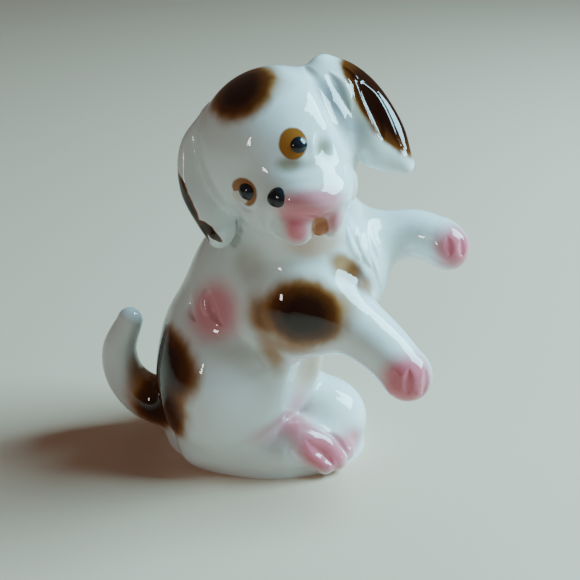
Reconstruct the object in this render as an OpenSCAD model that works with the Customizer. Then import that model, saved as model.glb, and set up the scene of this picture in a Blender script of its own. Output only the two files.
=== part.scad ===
// Glazed porcelain puppy sitting up on its haunches, on a low mound of clay.
//
// The puppy's body points along +X and its right side faces -Y. The origin is the middle of the
// underside of the mound and the puppy stands on z = 0. All lengths are in millimetres.
//
// The shape is modelled the way it is in clay: egg-shaped lumps and tapering rolls are pressed
// together and their joints smoothed over. Each piece is the part of that clay on its own side of
// flat seams, where the real pieces are stuck together with slip, so neighbours meet face to face.

/* [Clay] */
// Thickness of the cast wall
wall = 3; // [2.4:0.1:3.4]
// Corners around a piece
sides = 56; // [24:4:60]

/* [Mound and vent] */
// Half-widths and height of the mound that the puppy sits on
mound_size = [21.5, 16, 7]; // [6:0.5:24]
// Height of the seam between the mound and the pieces on it
mound_seam_z = 2.6; // [2.2:0.1:3]
// Diameter of the vent hole that lets the kiln's air out of the hollow body
vent_d = 3.5; // [3:0.1:3.9]

/* [Torso] */
// Centre of the rump and belly
rump_at = [-8, 1, 24]; // [-8:0.1:26]
// Half-widths of the rump and belly
rump_size = [18, 16.5, 22]; // [15:0.1:23]
// Centre of the upper back
back_at = [-1, 2, 43]; // [-2:0.5:44]
// Half-widths of the upper back
back_size = [15.5, 13, 14]; // [12:0.5:16]
// Centre of the chest
chest_at = [6, -3, 44]; // [-4:0.5:45]
// Half-width of the chest
chest_r = 13; // [12:0.5:14]

/* [Head] */
// Centre of the skull
skull_at = [0.6, -8, 74.2]; // [-9:0.2:75]
// Half-widths of the skull
skull_size = [16.2, 15.5, 16.2]; // [15:0.1:17]
// Centre of the muzzle
muzzle_at = [5.8, -20.5, 69]; // [-22:0.1:70]
// Half-widths of the muzzle
muzzle_size = [9, 7.5, 6]; // [5:0.5:10]

/* [Limbs] */
// Radii of the right foreleg at the shoulder, elbow, wrist and paw
right_foreleg_r = [8.5, 6.8, 5.8, 5.2]; // [5:0.1:9]
// Radii of the left foreleg at the shoulder, elbow, wrist and paw
left_foreleg_r = [6.5, 5.6, 5.4, 5.1]; // [4.6:0.1:7]
// Radius of the outer toes of the right hind paw, at their roots
toe_r = 4; // [3.6:0.1:4.2]
// Radii of the tail at its root, bend, back and top
tail_r = [6.5, 5.6, 4.7, 4]; // [3.5:0.1:7]

/* [Enamel] */
// Diameter of the raised enamel pupil of the right eye
right_pupil_d = 2.9; // [2:0.1:3]
// Diameter of the raised enamel pupil of the left eye
left_pupil_d = 3; // [2:0.1:3.2]
// Diameter of the raised enamel nose
nose_d = 3.6; // [2.4:0.1:3.8]

/* [Hidden] */

GLAZE = "WhiteSmoke";
BROWN = "SaddleBrown";
PINK = "LightPink";
ENAMEL = "Black";

// ---------------------------------------------------------------- vectors

function unit(v) = v / norm(v);

// Rows of the matrix of rotate([a, b, c]), which undo it when they are multiplied from the left
function turn(lean) =
    let (a = lean.x, b = lean.y, c = lean.z)
    [[cos(b) * cos(c), sin(a) * sin(b) * cos(c) - cos(a) * sin(c),
      cos(a) * sin(b) * cos(c) + sin(a) * sin(c)],
     [cos(b) * sin(c), sin(a) * sin(b) * sin(c) + cos(a) * cos(c),
      cos(a) * sin(b) * sin(c) - sin(a) * cos(c)],
     [-sin(b), sin(a) * cos(b), cos(a) * cos(b)]];

// Stretch by ratio along the direction n
function stretch(n, ratio) =
    [for (i = [0:2]) [for (j = [0:2]) (i == j ? 1 : 0) + (ratio - 1) * n[i] * n[j]]];

// ---------------------------------------------------------------- clay

// A lump is an egg of half-widths size, leaning by lean, blended over k into the clay so far
function lump(at, size, k, lean = [0, 0, 0]) =
    let (m = turn(lean))
    ["lump", at, [for (row = m) [for (j = [0:2]) row[j] / size[j]]],
                 [for (row = m) [for (j = [0:2]) row[j] / (size[j] * size[j])]], k];

// Values halfway between those of a list are added so that they lie on a smooth curve through it
function smoothed(list) =
    let (n = len(list), all = concat([2 * list[0] - list[1]], list, [2 * list[n - 1] - list[n - 2]]))
    n == 2 ? list
    : concat([for (i = [0:n - 2])
                 each [list[i], (9 * (all[i + 1] + all[i + 2]) - all[i] - all[i + 3]) / 16]],
             [list[n - 1]]);

// A roll runs through points with a radius at each. It can be pressed flat along a direction.
function roll(points, radii, k, flat = [0, 0, 1], ratio = 1) =
    let (squash = stretch(unit(flat), ratio))
    ["roll", smoothed([for (p = points) p * squash]), smoothed(radii), squash, k, sqrt(ratio)];

// The same thing cut away from the clay so far instead of added to it
function scoop(thing) = [for (i = [0:len(thing) - 1]) i == 4 ? -thing[i] : thing[i]];

// Smooth smaller of a and b, rounded over k
function soft_min(a, b, k) =
    let (h = max(k - abs(a - b), 0) / k)
    min(a, b) - h * h * k / 4;

// The clay so far with one more thing, which is scooped out where k is negative
function with(so_far, b, k) = k > 0 ? soft_min(so_far, b, k) : -soft_min(-so_far, b, -k);

// How far p lies outside one tapering stretch of a roll
function stretch_gap(p, a, b, ra, rb) =
    let (along = b - a, h = min(1, max(0, (p - a) * along / (along * along))))
    norm(p - a - h * along) - (ra + (rb - ra) * h);

function roll_gap(q, pts, radii) =
    min([for (i = [0:len(pts) - 2]) stretch_gap(q, pts[i], pts[i + 1], radii[i], radii[i + 1])]);

function lump_gap(d, a_row, b_row) =
    let (a = norm(d * a_row), b = norm(d * b_row))
    b == 0 ? -1000 : a * (a - 1) / b;

// How far p lies outside one thing, negative inside
function gap(p, thing) =
    thing[0] == "lump" ? lump_gap(p - thing[1], thing[2], thing[3])
    : roll_gap(p * thing[3], thing[1], thing[2]) / thing[5];

// How far p lies outside a heap of things smoothed together, negative inside
function heap_gap(p, heap, i = 0, so_far = 1000) =
    i == len(heap) ? so_far
    : heap_gap(p, heap, i + 1, with(so_far, gap(p, heap[i]), heap[i][4]));

rump = lump(rump_at, rump_size, 8, [0, 10, 0]);
torso = [
    rump,
    lump(back_at, back_size, 8, [0, 20, 0]),
    lump(chest_at, chest_r * [1, 1, 1], 6),
    lump([12.5, -2.5, 44.5], [12, 9, 12], 4),
    // neck and the slope down to the left shoulder
    roll([[5, -1, 48], [4.5, -5, 60]], [12, 11], 6),
    roll([[9.5, 0, 57], [20, 2.5, 50.5]], [7.6, 5], 3),
    // right and left shoulder
    lump([5, -11, 39.5], [11, 9, 11], 4),
    lump([14, 4, 46.5], [8, 9, 8], 5),
    // right and left thigh
    lump([-10.2, -10.8, 19], [12.6, 8.6, 14.8], 2.5, [0, 12, 6]),
    lump([-8, 11, 18], [13, 7.8, 14.5], 3, [0, 12, -8]),
    // haunch behind the right thigh
    lump([-15, -6, 18], [10.6, 10.4, 15], 5),
    // between right thigh and belly
    scoop(lump([8.8, -13.5, 20.5], [5.8, 7.6, 9.5], 2.5))
];
mound = [
    lump([-1, 0, 0], mound_size, 4),
    lump([-17, 2, 1], [9, 8, 5], 4)
];
right_paw_clay = [
    roll([[-17, -9, 5], [-2, -11.5, 5.5], [5, -11.5, 6.5]], [5, 5, 5], 3),
    roll([[2, -13, 6], [7.4, -13.8, 5.2], [10.8, -14.2, 2.6]], [toe_r, 2.8, 2.2], 1.3),
    roll([[4, -12, 8], [9.8, -11.8, 6.6], [13.4, -12.6, 3]], [toe_r, 3, 2.4], 1.3),
    roll([[5, -9, 8], [11.5, -8.4, 6.6], [15.4, -9.6, 3.2]], [toe_r - 0.5, 2.7, 2.2], 1.3)
];
left_paw_clay = [
    roll([[-6, 9, 10], [4, 4, 10.5], [10, 0, 8.5]], [6, 6.6, 7], 3),
    lump([11.8, -0.5, 7], [9, 8.6, 9], 3, [0, 10, -20])
];
skull = lump(skull_at, skull_size, 3);
face = [
    skull,
    // left cheek
    lump([9, -12, 67], [7.4, 8, 6], 3),
    // muzzle, upper lip, lower jaw, right and left jowl, tongue
    lump(muzzle_at, muzzle_size, 5),
    roll([[0, -24.4, 67.6], [4, -26.2, 69], [8.2, -26.2, 69.2], [12.6, -22.8, 68.6]],
         [1.8, 2.4, 2.3, 1.6], 1.5),
    lump([2.5, -18.5, 65], [9, 6.5, 5.9], 3),
    lump([3.8, -24, 64.1], [3.9, 3.9, 4.8], 1, [0, -26, 0]),
    lump([11.4, -22.8, 64.6], [2.1, 3.3, 4.1], 1, [0, 10, 0]),
    lump([8.7, -23.4, 63.5], [1.8, 2.2, 2.5], 0.6)
];
right_ear_clay = [
    roll([[-12.8, -5, 78.5], [-15.9, -6, 73], [-15.6, -8, 66.5], [-12.6, -9.8, 60.5], [-11.2, -11, 57]],
         [3.2, 4.3, 4.6, 4.4, 3.5], 2, [-1, 1, 0], 1.7)
];
left_ear_clay = [
    roll([[10.5, -3, 87.8], [15, -3.3, 86], [19, -4, 82], [23.3, -6, 75.8], [26.6, -8, 70.8]],
         [4.1, 4.2, 4.6, 4.2, 2], 4, [6, -5, 4], 1.5),
    roll([[14, -5, 84], [17.5, -7, 77.5], [20, -8.5, 73]], [3.5, 3.6, 2.6], 2.5),
    lump([22.3, -8.4, 72.2], [5.2, 2.2, 2.9], 1.5, [0, 22, 0])
];
right_foreleg_clay = [
    roll([[6, -11, 41], [15, -14, 38.2], [21.5, -17.5, 34.5], [26.5, -20.5, 30]], right_foreleg_r, 4),
    lump([27.6, -21, 28.4], [4.9, 4.9, 4.9], 2)
];
left_foreleg_clay = [
    roll([[14, 4, 48], [22, 2.5, 50.2], [29.5, 1.5, 51.8], [35, -1.2, 51.4]], left_foreleg_r, 4),
    lump([37, -3, 50.2], [4.6, 4.6, 4.8], 2)
];
tail_clay = [
    roll([[-18, 3, 9.5], [-29, 5, 8.5], [-35.3, 6, 13.5], [-36.8, 6, 21], [-33.9, 6, 28.9]],
         concat(tail_r, [2.9]), 4)
];
feet = concat(mound, right_paw_clay, left_paw_clay);

// ---------------------------------------------------------------- seams

// A seam is a point on it, the way from the main piece to the piece stuck on, and its reach
function seam(at, way, reach) = [at, unit(way), reach];
function facing_back(s) = [s[0], -s[1], s[2]];

neck_seam = seam([4.5, -4, 56.5], [-0.05, -0.2, 1], 30);
mound_seam = seam([0, 0, mound_seam_z], [0, 0, -1], 60);
paw_seam = seam([7, 0, 14], [0.8, 0, -0.6], 40);
between_paws = seam([8, -5.5, 6], [0, 1, 0], 40);
right_foreleg_seam = seam([13.5, -13.5, 38.6], [0.85, -0.37, -0.37], 10.5);
left_foreleg_seam = seam([18, 3.3, 49.1], [0.95, -0.15, 0.25], 10.5);
tail_seam = seam([-25, 4, 8.7], [-0.97, 0.05, -0.2], 30);
right_ear_seam = seam([-12.25, -8, 68], [-0.964, 0, -0.265], 22);
left_ear_seam = seam([14.2, -5, 78.5], [0.935, 0, 0.355], 22);

// Clay is first cast this far past a seam and then cut flush
SLACK = 1;
CUT_DEPTH = 14;

// How far p lies beyond a seam, within its reach
function beyond(p, s) =
    let (d = p - s[0], ahead = d * s[1])
    min(ahead, s[2] - norm(d - ahead * s[1]));

function beyond_any(p, seams) = len(seams) == 0 ? -1000 : max([for (s = seams) beyond(p, s)]);

// The solid that cuts a piece flush at a seam
module past(s) {
    translate(s[0])
        rotate([0, acos(s[1].z), atan2(s[1].y, s[1].x)])
            cylinder(r = s[2], h = CUT_DEPTH, $fn = 64);
}

// ---------------------------------------------------------------- skins

// Distance from o to the skin of a heap along the direction d, by walking the gap
STEPS = 14;
function walk(heap, seams, inset, o, d, t = 0, n = STEPS) =
    n == 0 ? t
    : let (p = o + t * d)
      walk(heap, seams, inset, o, d,
           max(0, t - max(heap_gap(p, heap), beyond_any(p, seams) - SLACK) - inset), n - 1);

// One ring of skin points around o: the rays lean from square across (0) to along the axis (90)
function ring(heap, seams, inset, o, axis, lean, count) =
    let (u = unit(cross([0, 1, 0], axis)), v = cross(axis, u))
    [for (j = [0:count - 1])
        let (a = 360 * j / count, d = cos(lean) * (cos(a) * u + sin(a) * v) + sin(lean) * axis)
        o + d * walk(heap, seams, inset, o, d)];

// Place along a path of evenly timed points, for s from 0 to 1
function along(path, s) =
    let (n = len(path) - 1, i = min(n - 1, floor(s * n)), f = s * n - i)
    path[i] * (1 - f) + path[i + 1] * f;

// Rings along a path of [point, axis, lean] stations
function rings(heap, seams, inset, stations, n, count) =
    [for (i = [0:n - 1])
        let (here = along(stations, i / (n - 1)))
        ring(heap, seams, inset, here[0], unit(here[1]), here[2], count)];

// Closed surface through rings of points, with a fan to a tip point at each end
module closed_skin(tip_a, loops, tip_b) {
    n = len(loops);
    m = len(loops[0]);
    last = n * m + 1;
    polyhedron(
        points = concat([tip_a], [for (l = loops) each l], [tip_b]),
        faces = concat(
            [for (j = [0:m - 1]) [0, 1 + j, 1 + (j + 1) % m]],
            [for (i = [0:n - 2], j = [0:m - 1]) let (k = (j + 1) % m, r = 1 + i * m)
                each [[r + j, r + m + j, r + k], [r + k, r + m + j, r + m + k]]],
            [for (j = [0:m - 1]) [last, last - m + (j + 1) % m, last - m + j]]));
}

// Closed surface through rings of points, whose last ring joins its first
module open_skin(loops) {
    n = len(loops);
    m = len(loops[0]);
    polyhedron(
        points = [for (l = loops) each l],
        faces = [for (i = [0:n - 1], j = [0:m - 1])
            let (k = (j + 1) % m, a = i * m, b = (i + 1) % n * m)
            each [[a + j, b + j, a + k], [a + k, b + j, b + k]]]);
}

function backwards(list) = [for (i = [len(list) - 1:-1:0]) list[i]];

// Both ends of a piece are closed by the skin point straight along the axis
module solid_piece(heap, seams, stations, n, count) {
    first = stations[0];
    last = stations[len(stations) - 1];
    back = -unit(first[1]);
    front = unit(last[1]);
    difference() {
        closed_skin(first[0] + back * walk(heap, seams, 0, first[0], back),
                    rings(heap, seams, 0, stations, n, count),
                    last[0] + front * walk(heap, seams, 0, last[0], front));
        for (s = seams) past(s);
    }
}

// ---------------------------------------------------------------- pieces

body_heap = concat(torso, mound, right_paw_clay, left_paw_clay, tail_clay,
                   right_foreleg_clay, left_foreleg_clay, [skull]);
body_seams = [paw_seam, right_foreleg_seam, left_foreleg_seam, tail_seam];
body_stations = [
    [[-9, 1, mound_seam_z - SLACK], [0, 0, 1], 0],
    [[-8, 1, 12], [0, 0, 1], 0],
    [[-6, 1, 22], [0, 0, 1], 0],
    [[-3, 1, 34], [0, 0, 1], 0],
    [[1, -1, 46], [0, 0, 1], 0],
    [neck_seam[0] + SLACK * neck_seam[1], neck_seam[1], 0]
];

// Hollow torso and haunches in one casting, open at the neck and on the mound
module body() {
    color(GLAZE)
        difference() {
            open_skin(concat(rings(body_heap, body_seams, 0, body_stations, 34, sides),
                             backwards(rings(body_heap, body_seams, wall, body_stations, 14, sides))));
            for (s = concat(body_seams, [neck_seam, mound_seam])) past(s);
        }
}

// Solid mound under the puppy, flat below, with a vent hole up into the hollow body
module base() {
    heap = concat(torso, feet, tail_clay);
    seams = [facing_back(mound_seam), seam([0, 0, 0], [0, 0, -1], 60)];
    color(GLAZE)
        difference() {
            solid_piece(heap, seams,
                        [[[-1, 0, -SLACK], [0, 0, 1], 0], [[-1, 0, mound_seam_z + SLACK], [0, 0, 1], 0]],
                        6, 64);
            translate([-6, 0, -SLACK])
                cylinder(d = vent_d, h = mound_seam_z + 2 * SLACK, $fn = 48);
        }
}

head_heap = concat(torso, face, right_ear_clay, left_ear_clay);
head_seams = [right_ear_seam, left_ear_seam];
head_stations = [
    [neck_seam[0] - SLACK * neck_seam[1], neck_seam[1], 0],
    [[3, -6, 65], [0, -0.45, 0.9], 0],
    [skull_at, [0, 0, 1], 0],
    [skull_at, [0, 0, 1], 80]
];

// Hollow head, open at the neck
module head() {
    crown = [0, 0, 1];
    color(GLAZE)
        difference() {
            closed_skin(skull_at + crown * walk(head_heap, head_seams, wall, skull_at, crown),
                        concat(backwards(rings(head_heap, head_seams, wall, head_stations, 10, sides)),
                               rings(head_heap, head_seams, 0, head_stations, 30, sides)),
                        skull_at + crown * walk(head_heap, head_seams, 0, skull_at, crown));
            for (s = concat(head_seams, [facing_back(neck_seam)])) past(s);
        }
}

module right_ear() {
    color(BROWN)
        solid_piece(concat(face, right_ear_clay), [facing_back(right_ear_seam)],
                    [[[-14.6, -8, 69], [0, -0.15, -1], -80], [[-14.6, -8, 69], [0, -0.15, -1], 80]], 22, 36);
}

module left_ear() {
    color(BROWN)
        solid_piece(concat(face, left_ear_clay), [facing_back(left_ear_seam)],
                    [[[17.8, -4.8, 80.5], [0.68, -0.2, -0.7], -80],
                     [[18.8, -5.2, 79], [0.68, -0.2, -0.7], 0],
                     [[18.8, -5.2, 79], [0.68, -0.2, -0.7], 80]], 25, 36);
}

module right_foreleg() {
    s = right_foreleg_seam;
    paw = [26.3, -20.4, 30.2];
    color(PINK)
        solid_piece(concat(torso, right_foreleg_clay), [facing_back(s)],
                    [[s[0] - SLACK * s[1], s[1], 0], [[20, -16.9, 35.4], [0.78, -0.42, -0.45], 0],
                     [paw, [0.7, -0.4, -0.6], 0], [paw, [0.6, -0.35, -0.75], 80]], 19, 30);
}

module left_foreleg() {
    s = left_foreleg_seam;
    paw = [34.8, -1.4, 51.4];
    color(PINK)
        solid_piece(concat(torso, left_foreleg_clay), [facing_back(s)],
                    [[s[0] - SLACK * s[1], s[1], 0], [[26, 2, 50.8], [1, -0.1, 0.2], 0],
                     [paw, [0.9, -0.4, -0.1], 0], [paw, [0.8, -0.45, -0.4], 80]], 19, 30);
}

module right_hind_paw() {
    color(PINK)
        solid_piece(concat(torso, feet), [facing_back(paw_seam), between_paws, mound_seam],
                    [[[6, -11, 6], [1, 0.05, -0.15], -80], [[7, -11, 5.8], [1, 0.05, -0.15], 0],
                     [[9, -11, 5.4], [1, 0.05, -0.15], 80]], 26, 36);
}

module left_hind_paw() {
    color(PINK)
        solid_piece(concat(torso, feet), [facing_back(paw_seam), facing_back(between_paws), mound_seam],
                    [[[8, 2, 7], [1, 0, -0.1], -80], [[10, 2, 6.5], [1, 0, -0.1], 80]], 24, 36);
}

module tail() {
    s = tail_seam;
    top = [-34.2, 6, 27.2];
    color(BROWN)
        solid_piece(concat(torso, feet, tail_clay), [facing_back(s), mound_seam],
                    [[s[0] - SLACK * s[1], s[1], 0], [[-29, 5, 8.8], [-0.9, 0.12, 0.3], 0],
                     [[-34.6, 5.9, 13], [-0.5, 0, 0.85], 0], [[-36.4, 6, 21], [0.05, 0, 1], 0],
                     [top, [0.35, 0, 0.95], 0], [top, [0.35, 0, 0.95], 80]], 31, 24);
}

// ---------------------------------------------------------------- enamel

// A raised drop of enamel on the face, straight out from the skull's centre the given way.
// Its foot is sunk just far enough to touch the clay all round.
module drop(way, d, height) {
    SUNK = 0.25;
    dome_r = (d * d / 4 + height * height) / (2 * height);
    at = skull_at + unit(way) * walk(face, [], 0, skull_at, unit(way));
    step = 0.05;
    out = unit([for (i = [0:2])
        let (e = [for (j = [0:2]) i == j ? step : 0]) heap_gap(at + e, face) - heap_gap(at - e, face)]);
    color(ENAMEL)
        translate(at - SUNK * out)
            rotate([0, acos(out.z), atan2(out.y, out.x)])
                translate([0, 0, height - dome_r])
                    rotate_extrude($fn = 32)
                        intersection() {
                            circle(r = dome_r, $fn = 96);
                            translate([0, dome_r - height])
                                square([d, height]);
                        }
}

module right_pupil() {
    drop([-5.9, -14.6, -4.4], right_pupil_d, 0.8);
}

module left_pupil() {
    drop([4.1, -14.6, 4.7], left_pupil_d, 0.7);
}

module nose() {
    drop([-0.3, -18.9, -4.2], nose_d, 0.9);
}

body();
base();
head();
right_ear();
left_ear();
right_foreleg();
left_foreleg();
right_hind_paw();
left_hind_paw();
tail();
right_pupil();
left_pupil();
nose();
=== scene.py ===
"""Glazed porcelain puppy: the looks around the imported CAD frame.

Each piece is sculpted as in clay: egg-shaped lumps and tapering rolls are smoothed together, finer
marks are pressed in, and the clay's surface is turned into a mesh, which is cut flush at the same
seams as in the CAD model. The glaze is one procedural material that is airbrushed in 3-D.
Clay is worked in millimetres and turned into metres at the end.
"""

import bmesh
import bpy
import numpy as np
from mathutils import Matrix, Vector


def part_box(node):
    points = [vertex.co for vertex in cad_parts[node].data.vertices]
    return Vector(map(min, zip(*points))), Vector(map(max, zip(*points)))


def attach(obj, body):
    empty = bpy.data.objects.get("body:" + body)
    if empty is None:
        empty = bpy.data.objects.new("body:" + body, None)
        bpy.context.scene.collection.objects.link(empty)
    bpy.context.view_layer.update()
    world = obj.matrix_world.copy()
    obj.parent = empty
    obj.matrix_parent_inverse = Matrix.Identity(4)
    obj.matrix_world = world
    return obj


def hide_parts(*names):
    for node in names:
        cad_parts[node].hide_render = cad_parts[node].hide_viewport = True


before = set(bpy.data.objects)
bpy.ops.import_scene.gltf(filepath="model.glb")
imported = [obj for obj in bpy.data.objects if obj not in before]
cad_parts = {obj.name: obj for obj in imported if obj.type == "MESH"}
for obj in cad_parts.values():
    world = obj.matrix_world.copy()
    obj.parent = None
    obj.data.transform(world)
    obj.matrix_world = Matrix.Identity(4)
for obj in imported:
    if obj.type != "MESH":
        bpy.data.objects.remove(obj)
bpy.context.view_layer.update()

MM = 0.001

# ---------------------------------------------------------------- clay


def unit(v):
    v = np.asarray(v, float)
    return v / np.linalg.norm(v)


def turn(lean):
    """Rotation matrix of the angles in degrees about X, then Y, then Z."""
    a, b, c = np.radians(lean)
    about_x = np.array([[1, 0, 0], [0, np.cos(a), -np.sin(a)], [0, np.sin(a), np.cos(a)]])
    about_y = np.array([[np.cos(b), 0, np.sin(b)], [0, 1, 0], [-np.sin(b), 0, np.cos(b)]])
    about_z = np.array([[np.cos(c), -np.sin(c), 0], [np.sin(c), np.cos(c), 0], [0, 0, 1]])
    return about_z @ about_y @ about_x


def soft_min(a, b, k):
    h = np.maximum(k - np.abs(a - b), 0) / k
    return np.minimum(a, b) - h * h * k / 4


def soft_max(a, b, k):
    return -soft_min(-a, -b, k)


def lump(at, size, blend, lean=(0, 0, 0)):
    """An egg of half-widths size: how far points lie outside it, how it blends, and its box."""
    at, size, m = np.asarray(at, float), np.asarray(size, float), turn(lean)

    def gap(p):
        q = (p - at) @ m
        a = np.sqrt(((q / size) ** 2).sum(-1)) + 1e-9
        b = np.sqrt(((q / size ** 2) ** 2).sum(-1)) + 1e-9
        return a * (a - 1) / b
    half = np.sqrt((m ** 2) @ size ** 2)
    return gap, blend, at - half, at + half


def curve_through(points):
    """Cubic pieces of the smooth curve through points, which may carry a radius as 4th value."""
    points = np.asarray(points, float)
    ends = np.concatenate([2 * points[:1] - points[1:2], points, 2 * points[-1:] - points[-2:-1]])
    a, b, c, d = ends[:-3], ends[1:-2], ends[2:-1], ends[3:]
    return np.stack([b, (c - a) / 2, (2 * a - 5 * b + 4 * c - d) / 2, (3 * b - a - 3 * c + d) / 2], 1)


def on_curve(pieces, t):
    """Value, first and second derivative of the curve at t."""
    i = np.minimum(t.astype(int), len(pieces) - 1)
    u = (t - i)[..., None]
    c = pieces[i]
    value = c[..., 0, :] + u * (c[..., 1, :] + u * (c[..., 2, :] + u * c[..., 3, :]))
    first = c[..., 1, :] + u * (2 * c[..., 2, :] + 3 * u * c[..., 3, :])
    return value, first, 2 * c[..., 2, :] + 6 * u * c[..., 3, :]


def nearest_on(pieces, p):
    """Distance of points p from the curve, where along it that is, and the value there."""
    tries = np.linspace(0, len(pieces), 4 * len(pieces) + 1)
    knots = on_curve(pieces, tries)[0][:, :3]
    t = tries[((p[..., None, :] - knots) ** 2).sum(-1).argmin(-1)]
    for _ in range(3):
        value, first, second = on_curve(pieces, t)
        away = p - value[..., :3]
        speed = (first[..., :3] ** 2).sum(-1)
        bend = speed - (away * second[..., :3]).sum(-1)
        t = np.clip(t + (away * first[..., :3]).sum(-1) / np.maximum(bend, 0.3 * speed), 0, len(pieces))
    value = on_curve(pieces, t)[0]
    return np.linalg.norm(p - value[..., :3], axis=-1), t, value


def roll(points, radii, blend, flat=(0, 0, 1), ratio=1.0):
    """A tapering roll through points, pressed thinner by ratio along the direction flat."""
    n = unit(flat)
    squash = np.eye(3) + (ratio - 1) * np.outer(n, n)
    points, radii = np.asarray(points, float), np.asarray(radii, float)
    pieces = curve_through(np.column_stack([points @ squash, radii]))

    def gap(p):
        distance, _, value = nearest_on(pieces, p @ squash)
        return (distance - value[..., 3]) / np.sqrt(ratio)
    thick = radii[:, None]
    return gap, blend, (points - thick).min(0) - 1, (points + thick).max(0) + 1


def scoop(thing):
    """The same thing cut away from the clay instead of added."""
    gap, blend, low, high = thing
    return gap, -blend, low, high


def stroke(points, width, depth):
    """A tool mark along points: pressed in where depth is positive, raised where negative.

    It fades in and out along its length.
    """
    points = np.asarray(points, float)
    pieces = curve_through(points)

    def mark(p):
        distance, t, _ = nearest_on(pieces, p)
        swell = 1 - 0.8 * (2 * t / len(pieces) - 1) ** 2
        return depth * swell * np.exp(-(distance / (width * swell)) ** 2)
    return mark, points.min(0) - 3 * width, points.max(0) + 3 * width


def dent(at, size, depth, lean=(0, 0, 0)):
    """A soft dent of half-widths size, or a swelling where depth is negative."""
    at, size, m = np.asarray(at, float), np.asarray(size, float), turn(lean)

    def mark(p):
        return depth * np.exp(-(((p - at) @ m / size) ** 2).sum(-1))
    half = 3 * np.sqrt((m ** 2) @ size ** 2)
    return mark, at - half, at + half


REACH = 4.0


def heap(things, marks=()):
    """Field of things smoothed together, with marks: millimetres outside, negative inside.

    Further than REACH outside, it stays at about REACH.
    """
    def field(p):
        out = np.full(p.shape[:-1], REACH)
        for gap, blend, low, high in things:
            margin = abs(blend) + REACH
            close = ((p > low - margin) & (p < high + margin)).all(-1)
            if not close.any():
                continue
            here = gap(p[close])
            if blend > 0:
                out[close] = soft_min(out[close], here, blend)
            else:
                out[close] = soft_max(out[close], -here, -blend)
        for mark, low, high in marks:
            close = ((p > low) & (p < high)).all(-1)
            if close.any():
                out[close] += mark(p[close])
        return out
    return field


# ---------------------------------------------------------------- the puppy's clay, in millimetres

TORSO = [
    # rump and belly, back, chest
    lump((-8, 1, 24), (18, 16.5, 22), 8, (0, 10, 0)),
    lump((-1, 2, 43), (15.5, 13, 14), 8, (0, 20, 0)),
    lump((6, -3, 44), (13, 13, 13), 6),
    lump((12.5, -2.5, 44.5), (12, 9, 12), 4),
    # neck and the slope down to the left shoulder
    roll([(5, -1, 48), (4.5, -5, 60)], [12, 11], 6),
    roll([(9.5, 0, 57), (20, 2.5, 50.5)], [7.6, 5], 3),
    # right and left shoulder
    lump((5, -11, 39.5), (11, 9, 11), 4),
    lump((14, 4, 46.5), (8, 9, 8), 5),
    # right and left thigh
    lump((-10.2, -10.8, 19), (12.6, 8.6, 14.8), 2.5, (0, 12, 6)),
    lump((-8, 11, 18), (13, 7.8, 14.5), 3, (0, 12, -8)),
    # haunch behind the right thigh
    lump((-15, -6, 18), (10.6, 10.4, 15), 5),
    # between right thigh and belly
    scoop(lump((8.8, -13.5, 20.5), (5.8, 7.6, 9.5), 2.5)),
]
MOUND = [
    lump((-1, 0, 0), (21.5, 16, 7), 4),
    lump((-17, 2, 1), (9, 8, 5), 4),
]
RIGHT_PAW = [
    roll([(-17, -9, 5), (-2, -11.5, 5.5), (5, -11.5, 6.5)], [5, 5, 5], 3),
    roll([(2, -13, 6), (7.4, -13.8, 5.2), (10.8, -14.2, 2.6)], [4, 2.8, 2.2], 1.3),
    roll([(4, -12, 8), (9.8, -11.8, 6.6), (13.4, -12.6, 3)], [4, 3, 2.4], 1.3),
    roll([(5, -9, 8), (11.5, -8.4, 6.6), (15.4, -9.6, 3.2)], [3.5, 2.7, 2.2], 1.3),
]
LEFT_PAW = [
    roll([(-6, 9, 10), (4, 4, 10.5), (10, 0, 8.5)], [6, 6.6, 7], 3),
    lump((11.8, -0.5, 7), (9, 8.6, 9), 3, (0, 10, -20)),
]
SKULL_AT = np.array((0.6, -8, 74.2))
SKULL = lump(SKULL_AT, (16.2, 15.5, 16.2), 3)
FACE = [
    SKULL,
    # left cheek
    lump((9, -12, 67), (7.4, 8, 6), 3),
    # muzzle, upper lip, lower jaw, right and left jowl
    lump((5.8, -20.5, 69), (9, 7.5, 6), 5),
    roll([(0, -24.4, 67.6), (4, -26.2, 69), (8.2, -26.2, 69.2), (12.6, -22.8, 68.6)],
         [1.8, 2.4, 2.3, 1.6], 1.5),
    lump((2.5, -18.5, 65), (9, 6.5, 5.9), 3),
    lump((3.8, -24, 64.1), (3.9, 3.9, 4.8), 1, (0, -26, 0)),
    lump((11.4, -22.8, 64.6), (2.1, 3.3, 4.1), 1, (0, 10, 0)),
    # tongue
    lump((8.7, -23.4, 63.5), (1.8, 2.2, 2.5), 0.6),
]
RIGHT_EAR = [
    roll([(-12.8, -5, 78.5), (-15.9, -6, 73), (-15.6, -8, 66.5), (-12.6, -9.8, 60.5), (-11.2, -11, 57)],
         [3.2, 4.3, 4.6, 4.4, 3.5], 2, (-1, 1, 0), 1.7),
]
LEFT_EAR = [
    roll([(10.5, -3, 87.8), (15, -3.3, 86), (19, -4, 82), (23.3, -6, 75.8), (26.6, -8, 70.8)],
         [4.1, 4.2, 4.6, 4.2, 2], 4, (6, -5, 4), 1.5),
    roll([(14, -5, 84), (17.5, -7, 77.5), (20, -8.5, 73)], [3.5, 3.6, 2.6], 2.5),
    lump((22.3, -8.4, 72.2), (5.2, 2.2, 2.9), 1.5, (0, 22, 0)),
]
RIGHT_FORELEG = [
    roll([(6, -11, 41), (15, -14, 38.2), (21.5, -17.5, 34.5), (26.5, -20.5, 30)], [8.5, 6.8, 5.8, 5.2], 4),
    lump((27.6, -21, 28.4), (4.9, 4.9, 4.9), 2),
]
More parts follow.
